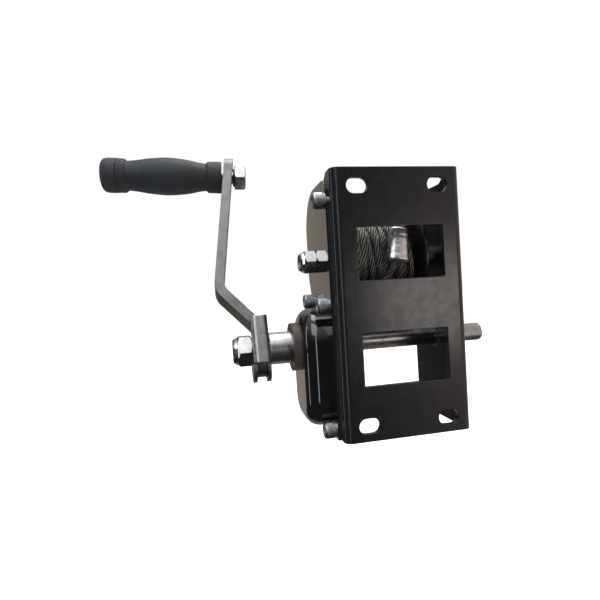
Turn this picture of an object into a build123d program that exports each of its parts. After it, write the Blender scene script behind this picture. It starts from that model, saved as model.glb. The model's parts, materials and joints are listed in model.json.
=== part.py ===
from build123d import *
import os
from math import acos, cos, degrees, pi, radians, sin, tan

# Hand winch for a boat trailer, in millimetres.  +X runs along the shafts, from the crank
# to the stub, +Z runs along the long side of the base plate, and the mounting face of the
# base plate lies in the plane Y = 0 with the winch behind it, toward +Y.  The origin is the
# centre of the four mounting slots.

# ---- driving dimensions -------------------------------------------------------------
FRAME_WIDTH = 106.0
FRAME_TOP = 106.0
FRAME_BOTTOM = -104.0
FRAME_DEPTH = 83.0
FLANGE_TOP = 98.5
CORNER_CUT = (15.0, 26.0)
SHEET = 4.0
BEND_RADIUS = 6.0

SLOT_SPACING_X = 66.0
SLOT_SPACING_Z = 184.0
SLOT_LENGTH = 17.0
SLOT_HEIGHT = 12.0

WINDOW_LEFT = -35.0
WINDOW_RIGHT = 36.0
UPPER_WINDOW = (19.6, 60.7)
LOWER_WINDOW = (-61.8, -20.6)

GEAR_MODULE = 2.0
GEAR_TEETH = 50
PINION_TEETH = 22
BACKLASH = 0.25

DRUM_Y = 57.5
DRUM_Z = 39.0
SHAFT_Y = 48.0
GEAR_CENTRES = GEAR_MODULE * (GEAR_TEETH + PINION_TEETH) / 2
SHAFT_Z = DRUM_Z - (GEAR_CENTRES**2 - (DRUM_Y - SHAFT_Y) ** 2) ** 0.5

FIT = 0.05
CRANK_TILT = 20.0
GRIP_TILT = 2.0

# ---- planes and axes worked out from them -------------------------------------------
OUTER = FRAME_WIDTH / 2
INNER = OUTER - SHEET
COVER_SHEET = 2.5
COVER_FACE = -OUTER - COVER_SHEET

DRUM_AXIS = Axis((0, DRUM_Y, DRUM_Z), (1, 0, 0))
SHAFT_AXIS = Axis((0, SHAFT_Y, SHAFT_Z), (1, 0, 0))
DRUM_PLANE = Plane(origin=(0, DRUM_Y, DRUM_Z), x_dir=(1, 0, 0), z_dir=(0, 0, 1))
SHAFT_PLANE = Plane(origin=(0, SHAFT_Y, SHAFT_Z), x_dir=(1, 0, 0), z_dir=(0, 0, 1))

# The crank's own plane holds the shaft axis and leans back from upright: local x is along
# the shaft, local y is outward along the arm, and its normal faces the mounting side.
CRANK_OUT = Vector(0, sin(radians(CRANK_TILT)), cos(radians(CRANK_TILT)))
CRANK_FRONT = Vector(0, -cos(radians(CRANK_TILT)), sin(radians(CRANK_TILT)))
CRANK_PLANE = Plane(origin=(0, SHAFT_Y, SHAFT_Z), x_dir=(1, 0, 0), z_dir=CRANK_FRONT)

# ---- drum, gears and rope -----------------------------------------------------------
AXLE_RADIUS = 6.0
AXLE_FLATS = 19.0
AXLE_HEAD_HEIGHT = 7.5
AXLE_END = -68.0
AXLE_NUT = (10.5, 14.0)
CORE_RADIUS = 20.0
CORE_BORE = 8.0
CORE_SPAN = (-47.4, 32.0)
DRUM_BUSH_LENGTH = 14.0
DRUM_FLANGE_RADIUS = 46.0
LEFT_FLANGE = (-35.5, -32.0)
RIGHT_FLANGE = (27.0, 30.0)
GEAR_FACE = (-44.5, -35.5)
PINION_FACE = (-45.5, -34.5)
RIVET_CIRCLE = 33.0
RIVET_COUNT = 6
RIVET_RADIUS = 3.0

ROPE_RADIUS = 2.5
COIL_RADIUS = 37.5
TAIL_RADIUS = COIL_RADIUS + ROPE_RADIUS + 0.5
ROPE_SCREW_X = 18.0
FERRULE_CENTRE_X = 4.8
FERRULE_LENGTH = 28.0
FERRULE_WIDTH = 16.5
FERRULE_THICKNESS = 10.0
FERRULE_ANGLE = 11.0
FERRULE_LEAN = 9.0

# ---- drive shaft, brake and crank ---------------------------------------------------
SHAFT_THREAD_RADIUS = 8.0
SHAFT_SEAT_RADIUS = 9.0
SHAFT_RADIUS = 8.0
SHAFT_LEFT_END = -130.0
SHAFT_RIGHT_END = 94.2
STUB_FLATS = 11.0
STUB_FLATS_START = 70.0
STUB_GROOVE = (55.8, 57.0)
STUB_GROOVE_DEPTH = 0.6
CRANK_NUT_FLATS = 24.0
CRANK_NUT = (11.5, 15.0)
BRAKE_DISC = (-59.2, -55.5)
RATCHET = (-66.2, -61.4)
LINING_RADIUS = 20.8
LINING_THICKNESS = 2.0
PRESSURE_RADIUS = 24.0
HUB_FLANGE = (-72.5, -68.5)
DOME_FACE = -76.2
COVER_BUSH_FACE = -82.7
BRACKET_RIGHT = -102.0
BRACKET_LEFT = -116.4
BRACKET_SHEET = 3.0
ARM_WIDTH = 25.0
ARM_THICKNESS = 8.0
ARM_CENTRE_X = (BRACKET_LEFT + BRACKET_RIGHT) / 2
HUB_RADIUS = 13.5
HUB_NOSE_RADIUS = 11.0
HUB_NOSE_END = -60.2

DOME_RADIUS = 32.0
DOME_BOTTOM = -98.0
DOME_CORNER = 24.0
DOME_EDGE = 12.0

SCREWS = [(14.0, 83.5), (19.0, 1.5), (18.0, -97.0), (68.5, 4.5)]
SCREW_RADIUS = 4.0
SCREW_HEAD_RADIUS = 6.5
SCREW_HEAD_HEIGHT = 8.0
SCREW_SOCKET = 6.0
SCREW_SOCKET_DEPTH = 4.5
SCREW_CLEARANCE = 0.2
SPRING_WASHER = 1.6
SPRING_WASHER_RADIUS = 6.4

RATCHET_TEETH = 12
RATCHET_TIP = 26.0
RATCHET_ROOT = 21.5
TOOTH_FACE_ANGLE = -62.0
PAWL_NOSE_ANGLE = TOOTH_FACE_ANGLE - 2.8
PAWL_NOSE = (22.5, 30.5)
PAWL_PIN = (36.0, -74.0)
PAWL_PIN_RADIUS = 4.0
PAWL_PIN_END = -69.5
PAWL_SHOULDER = -61.3
PAWL_SHOULDER_RADIUS = 7.0
PAWL_EYE_RADIUS = 8.0
PAWL_FACE = RATCHET[0] + 0.4
PAWL_THICKNESS = 4.0
PAWL_GROOVE = (-67.4, -66.4)
PAWL_GROOVE_DEPTH = 0.8

GRIP_ARM_RADIUS = 168.6
GRIP_ARM_X = -124.2
ARM_TOP = GRIP_ARM_RADIUS + 18.6
ARM_BOTTOM = -23.0
GRIP_BOLT_RADIUS = 6.0

os.makedirs("parts", exist_ok=True)


# ---- helpers ------------------------------------------------------------------------
def save(piece, name):
    """Label a finished piece and write it to its own STEP file."""
    piece.part.label = name
    export_step(piece.part, f"parts/{name}.step")


def outline(plane, points):
    """A closed straight-sided profile on a plane."""
    with BuildSketch(plane) as profile:
        with BuildLine():
            Polyline(*points, close=True)
        make_face()
    return profile.sketch


def disc(axis_yz, x, radius, bore=0.0):
    """A flat ring across the shafts at x."""
    plane = Plane(origin=(x, axis_yz[0], axis_yz[1]), x_dir=(0, 1, 0), z_dir=(1, 0, 0))
    with BuildSketch(plane) as ring:
        Circle(radius)
        if bore:
            Circle(bore, mode=Mode.SUBTRACT)
    return ring.sketch


def side_plane(x):
    """A plane across the shafts: local x is +Y, local y is +Z, and its normal is +X."""
    return Plane(origin=(x, 0, 0), x_dir=(0, 1, 0), z_dir=(1, 0, 0))


DRUM = (DRUM_Y, DRUM_Z)
SHAFT = (SHAFT_Y, SHAFT_Z)


def involute(angle):
    return tan(angle) - angle


def gear_outline(plane, teeth, phase, tip_relief=0.15):
    """A full involute gear outline, with a tooth centred on the phase angle in degrees."""
    pitch = GEAR_MODULE * teeth / 2
    base = pitch * cos(radians(20))
    tip = pitch + GEAR_MODULE - tip_relief
    root = pitch - 1.25 * GEAR_MODULE
    half_tooth = pi / (2 * teeth) - BACKLASH / (4 * pitch)
    start = max(base, root)

    def flank_point(radius, side, centre):
        half = half_tooth + involute(radians(20)) - involute(acos(min(1.0, base / radius)))
        angle = centre + side * half
        return (radius * cos(angle), radius * sin(angle))

    steps = [start + (tip - start) * share for share in (0.0, 0.3, 0.65, 1.0)]
    with BuildSketch(plane) as gear:
        with BuildLine():
            for tooth in range(teeth):
                centre = radians(phase) + 2 * pi * tooth / teeth
                rising = [flank_point(radius, -1, centre) for radius in steps]
                falling = [flank_point(radius, 1, centre) for radius in reversed(steps)]
                middle = (tip * cos(centre), tip * sin(centre))
                after = centre + pi / teeth
                following = centre + 2 * pi / teeth
                next_foot = flank_point(start, -1, following)
                Spline(*rising)
                ThreePointArc(rising[-1], middle, falling[0])
                Spline(*falling)
                if root < base:
                    half = half_tooth + involute(radians(20))
                    foot = (root * cos(centre + half), root * sin(centre + half))
                    far = (root * cos(following - half), root * sin(following - half))
                    Line(falling[-1], foot)
                    ThreePointArc(foot, (root * cos(after), root * sin(after)), far)
                    Line(far, next_foot)
                else:
                    ThreePointArc(falling[-1], (root * cos(after), root * sin(after)), next_foot)
        make_face()
    return gear.sketch


def hexagon(plane, across_flats, turn=0.0):
    with BuildSketch(plane) as shape:
        RegularPolygon(across_flats / 2, 6, major_radius=False, rotation=turn)
    return shape.sketch


def lock_nut(plane, across_flats, hex_height, height, bore):
    """A nylon-insert nut that stands on the plane and grows along its normal."""
    corner = across_flats / 2 / cos(radians(30))
    flat = across_flats / 2
    collar = flat - 1.2
    side = Plane(origin=plane.origin, x_dir=plane.z_dir, z_dir=plane.x_dir)
    envelope = outline(
        side,
        [
            (0, 0),
            (0, flat),
            (1.2, corner),
            (hex_height - 2.0, corner),
            (hex_height, collar + 0.6),
            (height - 1.5, collar),
            (height, collar - 1.5),
            (height, 0),
        ],
    )
    with BuildPart() as nut:
        extrude(hexagon(plane, across_flats), amount=height)
        revolve(envelope, axis=Axis(plane.origin, plane.z_dir), mode=Mode.INTERSECT)
        with BuildSketch(plane):
            Circle(bore)
        extrude(amount=height, mode=Mode.SUBTRACT)
    return nut


# ---- frame: one folded sheet --------------------------------------------------------
def make_frame():
    """The U-shaped frame: base plate with two windows and four slots, and two side plates."""
    with BuildSketch(side_plane(-OUTER)) as side:
        with BuildLine():
            FilletPolyline(
                (0, FRAME_BOTTOM),
                (FRAME_DEPTH, FRAME_BOTTOM),
                (FRAME_DEPTH, FLANGE_TOP),
                (CORNER_CUT[1], FLANGE_TOP),
                radius=(24, 36),
            )
            cut = ((CORNER_CUT[1], FLANGE_TOP), (CORNER_CUT[0], FRAME_TOP))
            Polyline(*cut, (0, FRAME_TOP), (0, FRAME_BOTTOM))
        make_face()
    with BuildPart() as frame:
        with BuildSketch(Plane.XY.offset(FRAME_BOTTOM)):
            with Locations((0, FRAME_DEPTH / 2)):
                Rectangle(FRAME_WIDTH, FRAME_DEPTH)
            with Locations((0, FRAME_DEPTH / 2 + SHEET)):
                Rectangle(2 * INNER, FRAME_DEPTH, mode=Mode.SUBTRACT)
        extrude(amount=FRAME_TOP - FRAME_BOTTOM)
        long_edges = frame.edges().filter_by(Axis.Z)
        fillet(long_edges.group_by(Axis.Y)[0], radius=BEND_RADIUS)
        inner_edges = frame.edges().filter_by(Axis.Z).filter_by_position(Axis.Y, SHEET - 0.01, SHEET + 0.01)
        fillet(inner_edges, radius=BEND_RADIUS - SHEET)
        extrude(side.sketch, amount=FRAME_WIDTH, mode=Mode.INTERSECT)
        with BuildSketch(Plane.XZ):
            window_x = (WINDOW_LEFT + WINDOW_RIGHT) / 2
            window_width = WINDOW_RIGHT - WINDOW_LEFT
            for low, high in (UPPER_WINDOW, LOWER_WINDOW):
                with Locations((window_x, (low + high) / 2)):
                    RectangleRounded(window_width, high - low, 1.0)
            with GridLocations(SLOT_SPACING_X, SLOT_SPACING_Z, 2, 2):
                SlotOverall(SLOT_LENGTH, SLOT_HEIGHT)
        extrude(amount=-SHEET, mode=Mode.SUBTRACT)
        extrude(disc(DRUM, -OUTER, AXLE_RADIUS + 0.1), amount=FRAME_WIDTH, mode=Mode.SUBTRACT)
        extrude(disc(SHAFT, -OUTER, 12.0), amount=SHEET, mode=Mode.SUBTRACT)
        extrude(disc(SHAFT, INNER, 10.0), amount=SHEET, mode=Mode.SUBTRACT)
        extrude(disc(PAWL_PIN, -OUTER, PAWL_PIN_RADIUS), amount=SHEET, mode=Mode.SUBTRACT)
        for place in SCREWS:
            extrude(disc(place, -OUTER, SCREW_RADIUS), amount=SHEET, mode=Mode.SUBTRACT)
    return frame


def dome_outline(plane, inset=0.0):
    """The brake dome seen along the shaft: round above the shaft and long below it."""
    radius = DOME_RADIUS - inset
    bottom = DOME_BOTTOM + inset
    corner = DOME_CORNER - inset
    with BuildSketch(plane) as dome:
        with BuildLine():
            CenterArc((SHAFT_Y, SHAFT_Z), radius, 0, 180)
            FilletPolyline(
                (SHAFT_Y - radius, SHAFT_Z),
                (SHAFT_Y - radius, bottom),
                (SHAFT_Y + radius, bottom),
                (SHAFT_Y + radius, SHAFT_Z),
                radius=corner,
            )
        make_face()
    return dome.sketch


def make_gear_cover():
    """The pressed cover of the left side plate, flat above and domed over the brake."""
    with BuildSketch(side_plane(COVER_FACE)) as sheet:
        with BuildLine():
            FilletPolyline(
                (11, FRAME_BOTTOM),
                (11, 100.5),
                (84.5, 100.5),
                (84.5, 26),
                (77, 8),
                (77, -4),
                (84, -22),
                (84, FRAME_BOTTOM),
                (40, FRAME_BOTTOM),
                radius=(10, 36, 12, 10, 10, 12, 24),
            )
            Line((40, FRAME_BOTTOM), (11, FRAME_BOTTOM))
        make_face()
    dome = dome_outline(side_plane(COVER_FACE))
    hollow = dome_outline(side_plane(-OUTER), COVER_SHEET)
    with BuildPart() as cavity:
        extrude(hollow, amount=DOME_FACE + COVER_SHEET + OUTER)
        fillet(cavity.edges().group_by(Axis.X)[0], radius=DOME_EDGE - COVER_SHEET)
    with BuildPart() as gear_cover:
        extrude(dome, amount=DOME_FACE - COVER_FACE)
        fillet(gear_cover.edges().group_by(Axis.X)[0], radius=DOME_EDGE)
        extrude(sheet.sketch, amount=COVER_SHEET)
        add(cavity.part, mode=Mode.SUBTRACT)
        extrude(disc(SHAFT, DOME_FACE - 1, 16.0), amount=6, mode=Mode.SUBTRACT)
        extrude(disc(DRUM, COVER_FACE - 1, AXLE_RADIUS + 0.1), amount=6, mode=Mode.SUBTRACT)
        for place in SCREWS:
            hole = disc(place, COVER_FACE - 1, SCREW_RADIUS + SCREW_CLEARANCE)
            extrude(hole, amount=6, mode=Mode.SUBTRACT)
    return gear_cover


def make_cover_screws():
    """Four M8 socket head screws that hold the cover to the frame."""
    seat = COVER_FACE - SPRING_WASHER
    top = seat - SCREW_HEAD_HEIGHT
    with BuildPart() as screws:
        for place in SCREWS:
            extrude(disc(place, seat, SCREW_HEAD_RADIUS), amount=-SCREW_HEAD_HEIGHT)
            extrude(disc(place, seat, SCREW_RADIUS), amount=-INNER - seat)
        rims = screws.edges().group_by(Axis.X)[0]
        chamfer(rims, length=0.7)
        for place in SCREWS:
            plane = Plane(origin=(top, place[0], place[1]), x_dir=(0, 1, 0), z_dir=(1, 0, 0))
            extrude(hexagon(plane, SCREW_SOCKET, 30), amount=SCREW_SOCKET_DEPTH, mode=Mode.SUBTRACT)
    return screws


def make_screw_washers():
    """The split spring washers under the cover screws."""
    with BuildPart() as washers:
        for place in SCREWS:
            ring = disc(place, COVER_FACE, SPRING_WASHER_RADIUS, SCREW_RADIUS + 0.15)
            extrude(ring, amount=-SPRING_WASHER)
            with BuildSketch(side_plane(COVER_FACE)):
                with Locations((place[0], place[1] + 5.2)):
                    Rectangle(0.8, 4, rotation=20)
            extrude(amount=-SPRING_WASHER, mode=Mode.SUBTRACT)
    return washers


# ---- drum axle ----------------------------------------------------------------------
def make_drum_axle():
    """The M12 axle bolt of the drum, with its head on the right side plate."""
    head = Plane(origin=(OUTER, DRUM_Y, DRUM_Z), x_dir=(0, 1, 0), z_dir=(1, 0, 0))
    with BuildPart() as axle:
        extrude(hexagon(head, AXLE_FLATS), amount=AXLE_HEAD_HEIGHT)
        chamfer(axle.faces().sort_by(Axis.X)[-1].edges(), length=1.0)
        extrude(disc(DRUM, AXLE_END, AXLE_RADIUS), amount=OUTER - AXLE_END)
        chamfer(axle.edges().group_by(Axis.X)[0], length=1.0)
    return axle


def make_spacers():
    """The thrust washer at the left of the drum and the spacer tube at its right."""
    with BuildPart() as washer:
        extrude(disc(DRUM, -INNER, 12.0, AXLE_RADIUS), amount=1.4)
    with BuildPart() as spacer:
        extrude(disc(DRUM, 32.3, 10.0, AXLE_RADIUS), amount=INNER - 32.3)
    return washer, spacer


# ---- drum ---------------------------------------------------------------------------
def make_drum_core():
    """The thick tube that the rope is wound on, bored for its two bushes."""
    with BuildPart() as core:
        extrude(disc(DRUM, CORE_SPAN[0], CORE_RADIUS, CORE_BORE), amount=CORE_SPAN[1] - CORE_SPAN[0])
        chamfer(core.edges().group_by(Axis.X)[0].sort_by(SortBy.RADIUS)[-1:], length=1.0)
        screw = Plane(origin=(ROPE_SCREW_X, DRUM_Y, DRUM_Z), x_dir=(1, 0, 0), z_dir=(0, 0, 1))
        with BuildSketch(screw.offset(CORE_RADIUS + 1)):
            Circle(3.0)
        extrude(amount=-11, mode=Mode.SUBTRACT)
    return core


def make_rope_set_screw():
    """The M6 set screw in the drum core that clamps the inner end of the rope."""
    with BuildPart() as screw:
        top = Plane(origin=(ROPE_SCREW_X, DRUM_Y, DRUM_Z + 18.5), x_dir=(1, 0, 0), z_dir=(0, 0, 1))
        with BuildSketch(top.offset(-4.0)):
            Circle(3.0)
        extrude(amount=4.0)
        with BuildSketch(top):
            RegularPolygon(1.5, 6, major_radius=False)
        extrude(amount=-3, mode=Mode.SUBTRACT)
    return screw


def make_drum_bushes():
    """The two bronze bushes that the drum turns on."""
    bushes = []
    for left in (CORE_SPAN[0], CORE_SPAN[1] - DRUM_BUSH_LENGTH):
        with BuildPart() as bush:
            extrude(disc(DRUM, left, CORE_BORE, AXLE_RADIUS + FIT), amount=DRUM_BUSH_LENGTH)
        bushes.append(bush)
    return bushes


def rivet_places():
    return [
        (
            DRUM_Y + RIVET_CIRCLE * cos(2 * pi * (index + 0.5) / RIVET_COUNT),
            DRUM_Z + RIVET_CIRCLE * sin(2 * pi * (index + 0.5) / RIVET_COUNT),
        )
        for index in range(RIVET_COUNT)
    ]


def make_drum_flange(span, riveted):
    """One pressed drum flange, with a rounded rim."""
    with BuildPart() as flange:
        extrude(disc(DRUM, span[0], DRUM_FLANGE_RADIUS, CORE_RADIUS), amount=span[1] - span[0])
        circles = flange.edges().filter_by(GeomType.CIRCLE)
        rims = circles.filter_by(lambda edge: edge.radius > DRUM_FLANGE_RADIUS - 1)
        fillet(rims, radius=1.0)
        if riveted:
            for place in rivet_places():
                extrude(disc(place, span[0], RIVET_RADIUS), amount=span[1] - span[0], mode=Mode.SUBTRACT)
    return flange


def make_drum_gear():
    """The spur gear riveted to the left drum flange, with lightening holes."""
    toward_shaft = 180 + degrees(acos((DRUM_Y - SHAFT_Y) / GEAR_CENTRES))
    plane = Plane(origin=(GEAR_FACE[0], DRUM_Y, DRUM_Z), x_dir=(0, 1, 0), z_dir=(1, 0, 0))
    teeth = gear_outline(plane, GEAR_TEETH, toward_shaft)
    with BuildPart() as gear:
        extrude(teeth, amount=GEAR_FACE[1] - GEAR_FACE[0])
        extrude(disc(DRUM, GEAR_FACE[0], CORE_RADIUS), amount=10, mode=Mode.SUBTRACT)
        for place in rivet_places():
            extrude(disc(place, GEAR_FACE[0], RIVET_RADIUS), amount=10, mode=Mode.SUBTRACT)
    return gear, toward_shaft


def make_gear_rivets():
    """Six rivets through the gear and the drum flange, flush on the rope side."""
    with BuildPart() as rivets:
        for place in rivet_places():
            extrude(disc(place, GEAR_FACE[0], RIVET_RADIUS), amount=LEFT_FLANGE[1] - GEAR_FACE[0])
            extrude(disc(place, GEAR_FACE[0], 5.0), amount=-2.0)
        chamfer(rivets.edges().group_by(Axis.X)[0], length=1.2)
    return rivets


# ---- rope ---------------------------------------------------------------------------
def make_cable_coil():
    """The wound rope as one solid ring, heaped toward the gear side."""
    profile = outline(
        DRUM_PLANE,
        [
            (LEFT_FLANGE[1], CORE_RADIUS),
            (LEFT_FLANGE[1], COIL_RADIUS - 1.0),
            (-22.0, COIL_RADIUS),
            (12.0, COIL_RADIUS),
            (18.0, COIL_RADIUS - 1.0),
            (22.5, 31.0),
            (24.5, CORE_RADIUS),
        ],
    )
    with BuildPart() as coil:
        revolve(profile, axis=DRUM_AXIS)
    return coil


# Rope tail, from the top of the coil through the ferrule, round the eye and back into the
# ferrule: place along the drum, distance along the wound surface below the middle of the
# ferrule, and height of the rope's middle above the wound surface.
TAIL_ROUTE = [
    (9.0, -62.0, -2.5),
    (8.6, -50.0, 0.6),
    (7.8, -38.0, 3.0),
    (8.6, -25.0, 4.5),
    (9.3, -13.0, 4.9),
    (7.2, 0.5, 4.9),
    (5.8, 15.0, 4.0),
    (7.7, 27.0, 3.2),
    (11.0, 40.0, 3.1),
    (12.0, 56.0, 3.0),
    (4.2, 63.9, 3.1),
    (-7.0, 64.0, 3.0),
    (-14.8, 55.9, 3.1),
    (-13.8, 43.5, 3.0),
    (-8.4, 33.5, 3.3),
    (-2.8, 24.0, 4.4),
    (1.0, 14.5, 5.2),
    (2.0, 4.0, 4.9),
]


def on_coil(along, below, height):
    """A point over the wound surface, given round the drum from the ferrule's middle."""
    angle = radians(FERRULE_ANGLE) - below / TAIL_RADIUS
    reach = COIL_RADIUS + height
    return Vector(along, DRUM_Y - reach * cos(angle), DRUM_Z + reach * sin(angle))


def bend_radii(points):
    """The largest arc that each corner of a route leaves room for."""
    radii = []
    for before, corner, after in zip(points, points[1:], points[2:]):
        first = corner - before
        second = after - corner
        half_turn = radians(first.get_angle(second)) / 2
        radii.append(0.45 * min(first.length, second.length) / tan(half_turn))
    return radii


def make_cable_tail():
    """The free end of the rope with its eye, lying on the wound turns."""
    points = [on_coil(*place) for place in TAIL_ROUTE]
    radii = bend_radii(points)
    print("tail bend radii", [round(radius, 1) for radius in radii])
    with BuildLine() as route:
        FilletPolyline(*points, radius=radii)
    path = route.wire()
    with BuildPart() as tail:
        with BuildSketch(Plane(origin=path @ 0, z_dir=path % 0)):
            Circle(ROPE_RADIUS)
        sweep(path=path)
    print("tail length", round(path.length, 1))
    return tail


def make_cable_ferrule():
    """The pressed oval aluminium ferrule that closes the eye."""
    middle = on_coil(FERRULE_CENTRE_X, 0, 0.4 + FERRULE_THICKNESS / 2)
    angle = radians(FERRULE_ANGLE)
    lean = radians(FERRULE_LEAN)
    up = Vector(0, sin(angle), cos(angle))
    along = up * cos(lean) + Vector(1, 0, 0) * sin(lean)
    across = Vector(1, 0, 0) * cos(lean) - up * sin(lean)
    plane = Plane(origin=middle - along * (FERRULE_LENGTH / 2), x_dir=across, z_dir=along)
    with BuildPart() as ferrule:
        with BuildSketch(plane):
            SlotOverall(FERRULE_WIDTH, FERRULE_THICKNESS)
        extrude(amount=FERRULE_LENGTH)
        ends = ferrule.faces().filter_by(Axis((0, 0, 0), along))
        fillet(ends.edges(), radius=1.5)
    return ferrule


# ---- drive shaft --------------------------------------------------------------------
def make_drive_shaft():
    """The stepped drive shaft, threaded at the crank and with a flatted threaded stub."""
    profile = outline(
        SHAFT_PLANE,
        [
            (SHAFT_LEFT_END, 0),
            (SHAFT_LEFT_END, SHAFT_THREAD_RADIUS - 1),
            (SHAFT_LEFT_END + 1, SHAFT_THREAD_RADIUS),
            (-60.0, SHAFT_THREAD_RADIUS),
            (-60.0, SHAFT_SEAT_RADIUS),
            (PINION_FACE[1], SHAFT_SEAT_RADIUS),
            (PINION_FACE[1], SHAFT_RADIUS),
            (STUB_GROOVE[0], SHAFT_RADIUS),
            (STUB_GROOVE[0], SHAFT_RADIUS - STUB_GROOVE_DEPTH),
            (STUB_GROOVE[1], SHAFT_RADIUS - STUB_GROOVE_DEPTH),
            (STUB_GROOVE[1], SHAFT_RADIUS),
            (SHAFT_RIGHT_END - 1.5, SHAFT_RADIUS),
            (SHAFT_RIGHT_END, SHAFT_RADIUS - 1.5),
            (SHAFT_RIGHT_END, 0),
        ],
    )
    beyond = SHAFT_RIGHT_END + 5
    with BuildPart() as shaft:
        revolve(profile, axis=SHAFT_AXIS)
        for side in (1, -1):
            flat = CRANK_PLANE.offset(side * STUB_FLATS / 2)
            with BuildSketch(flat):
                with Locations(((STUB_FLATS_START + beyond) / 2, 0)):
                    Rectangle(beyond - STUB_FLATS_START, 3 * SHAFT_RADIUS)
            extrude(amount=side * 5, mode=Mode.SUBTRACT)
    return shaft


def make_pinion(toward_shaft):
    """The drive pinion, with a gap facing the drum gear's tooth."""
    plane = Plane(origin=(PINION_FACE[0], SHAFT_Y, SHAFT_Z), x_dir=(0, 1, 0), z_dir=(1, 0, 0))
    teeth = gear_outline(plane, PINION_TEETH, toward_shaft + 180 + 180 / PINION_TEETH)
    with BuildPart() as pinion:
        extrude(teeth, amount=PINION_FACE[1] - PINION_FACE[0])
        extrude(disc(SHAFT, PINION_FACE[0], SHAFT_SEAT_RADIUS), amount=12, mode=Mode.SUBTRACT)
    return pinion


def make_brake_disc():
    """The pressure disc fixed on the drive shaft."""
    with BuildPart() as brake_disc:
        ring = disc(SHAFT, BRAKE_DISC[0], PRESSURE_RADIUS, SHAFT_SEAT_RADIUS)
        extrude(ring, amount=BRAKE_DISC[1] - BRAKE_DISC[0])
        circles = brake_disc.edges().filter_by(GeomType.CIRCLE)
        chamfer(circles.sort_by(SortBy.RADIUS)[-2:], length=0.6)
    return brake_disc


def flanged_bush(bore, body_radius, flange_radius, body, flange):
    """A plain bearing with a flange, turned round the drive shaft."""
    with BuildPart() as bush:
        extrude(disc(SHAFT, body[0], body_radius, bore), amount=body[1] - body[0])
        extrude(disc(SHAFT, flange[0], flange_radius, bore), amount=flange[1] - flange[0])
    return bush


def make_shaft_bushes():
    """The flanged bushes of the left side plate, the right side plate and the cover."""
    left = flanged_bush(SHAFT_SEAT_RADIUS + FIT, 12.0, 14.0, (-OUTER, -INNER), (-INNER, -47.2))
    right = flanged_bush(SHAFT_RADIUS + FIT, 10.0, 13.0, (INNER, OUTER), (OUTER, 55.5))
    body = (DOME_FACE, DOME_FACE + 2.8)
    cover = flanged_bush(HUB_RADIUS + FIT, 16.0, 20.2, body, (COVER_BUSH_FACE, DOME_FACE))
    return left, right, cover


def make_shaft_clip():
    """The retaining ring in the groove outside the right side plate."""
    width = STUB_GROOVE[1] - STUB_GROOVE[0]
    with BuildPart() as clip:
        extrude(disc(SHAFT, STUB_GROOVE[0], 11.0, SHAFT_RADIUS - STUB_GROOVE_DEPTH), amount=width)
        with BuildSketch(side_plane(STUB_GROOVE[0])):
            with Locations((SHAFT_Y, SHAFT_Z - 9.5)):
                Rectangle(5.0, 9.0)
        extrude(amount=width, mode=Mode.SUBTRACT)
    return clip


# ---- ratchet and pawl ---------------------------------------------------------------
def polar(radius, angle):
    return (SHAFT_Y + radius * cos(radians(angle)), SHAFT_Z + radius * sin(radians(angle)))


def make_ratchet():
    """The ratchet wheel between the two friction discs."""
    points = []
    for tooth in range(RATCHET_TEETH):
        face = TOOTH_FACE_ANGLE + 360 / RATCHET_TEETH * tooth
        points.append(polar(RATCHET_ROOT, face))
        points.append(polar(RATCHET_TIP, face))
    wheel = outline(side_plane(RATCHET[0]), points)
    with BuildPart() as ratchet:
        extrude(wheel, amount=RATCHET[1] - RATCHET[0])
        extrude(disc(SHAFT, RATCHET[0], HUB_NOSE_RADIUS + FIT), amount=10, mode=Mode.SUBTRACT)
    return ratchet


def make_friction_disc(left):
    """One lining of the brake, loose on the hub's nose."""
    with BuildPart() as lining:
        extrude(disc(SHAFT, left, LINING_RADIUS, HUB_NOSE_RADIUS + 0.5), amount=LINING_THICKNESS)
    return lining


def make_pawl():
    """The pawl that holds the ratchet against running back."""
    nose_inside = polar(PAWL_NOSE[0], PAWL_NOSE_ANGLE)
    nose_outside = polar(PAWL_NOSE[1], PAWL_NOSE_ANGLE)
    belly = polar(27.4, -88)
    arm = outline(side_plane(PAWL_FACE), [nose_inside, nose_outside, (41.6, -79.7), (30.4, -68.3), belly])
    bore = disc(PAWL_PIN, PAWL_FACE, PAWL_PIN_RADIUS + FIT)
    with BuildPart() as pawl:
        extrude(arm, amount=PAWL_THICKNESS)
        extrude(disc(PAWL_PIN, PAWL_FACE, PAWL_EYE_RADIUS), amount=PAWL_THICKNESS)
        extrude(bore, amount=PAWL_THICKNESS, mode=Mode.SUBTRACT)
        along_x = pawl.edges().filter_by(Axis.X)
        nose = along_x.sort_by(lambda edge: (edge.center() - SHAFT_AXIS.position).length)
        chamfer(nose[0], length=0.4)
    return pawl


def make_pawl_pin():
    """The shouldered pin of the pawl, riveted into the left side plate."""
    groove = disc(PAWL_PIN, PAWL_GROOVE[0], PAWL_PIN_RADIUS + 1, PAWL_PIN_RADIUS - PAWL_GROOVE_DEPTH)
    with BuildPart() as pin:
        extrude(disc(PAWL_PIN, -OUTER, PAWL_PIN_RADIUS), amount=SHEET)
        extrude(disc(PAWL_PIN, PAWL_SHOULDER, PAWL_SHOULDER_RADIUS), amount=-OUTER - PAWL_SHOULDER)
        extrude(disc(PAWL_PIN, PAWL_PIN_END, PAWL_PIN_RADIUS), amount=PAWL_SHOULDER - PAWL_PIN_END)
        extrude(groove, amount=PAWL_GROOVE[1] - PAWL_GROOVE[0], mode=Mode.SUBTRACT)
        chamfer(pin.edges().group_by(Axis.X)[0], length=0.5)
    return pin


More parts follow.
